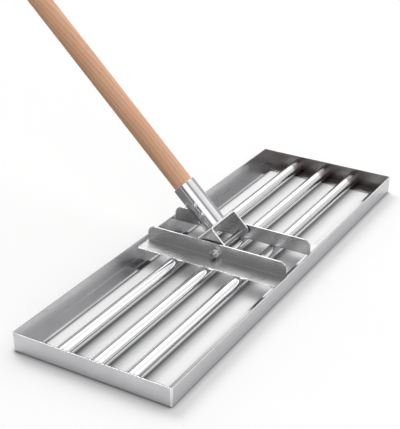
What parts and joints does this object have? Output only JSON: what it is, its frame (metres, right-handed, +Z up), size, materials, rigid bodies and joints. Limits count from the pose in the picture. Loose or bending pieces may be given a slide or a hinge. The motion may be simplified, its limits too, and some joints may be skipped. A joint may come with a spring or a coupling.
{
  "type": "lawn leveling rake",
  "caption": "Lawn leveling rake: open rectangular steel angle frame with round bars and cross brackets, and a long wooden handle on a hinged yoke.",
  "frame": {"origin": "on the ground under the middle of the rectangular head", "axes": "+X along the head's long side, +Y towards the person holding the handle, +Z up"},
  "size_m": [0.762, 1.2547, 1.1227],
  "materials": {
    "rail_steel": "satin stainless sheet",
    "tube_steel": "polished stainless tube",
    "bracket_steel": "satin stainless sheet",
    "yoke_steel": "satin stainless strap",
    "socket_steel": "polished stainless tube",
    "fastener_steel": "plated",
    "handle_wood": "sanded hardwood, thinly oiled"
  },
  "bodies": {
    "head": {"rail_front": "rail_steel", "rail_back": "rail_steel", "rail_left": "rail_steel", "rail_right": "rail_steel", "tube_front": "tube_steel", "tube_middle": "tube_steel", "tube_back": "tube_steel", "bracket_left": "bracket_steel", "bracket_right": "bracket_steel", "pivot_bolt": "fastener_steel", "pivot_nut": "fastener_steel", "bolt_washer_left": "fastener_steel", "bolt_washer_right": "fastener_steel", "spacer_left": "fastener_steel", "spacer_right": "fastener_steel"},
    "handle": {"yoke": "yoke_steel", "handle_socket": "socket_steel", "socket_screw_upper": "fastener_steel", "socket_screw_lower": "fastener_steel", "handle_shaft": "handle_wood"}
  },
  "joints": [
    {"name": "handle_pivot", "type": "hinge", "parent": "head", "child": "handle", "pos_m": [0, 0, 0.033], "axis": [1, 0, 0], "range_deg": [-34, 46]}
  ]
}
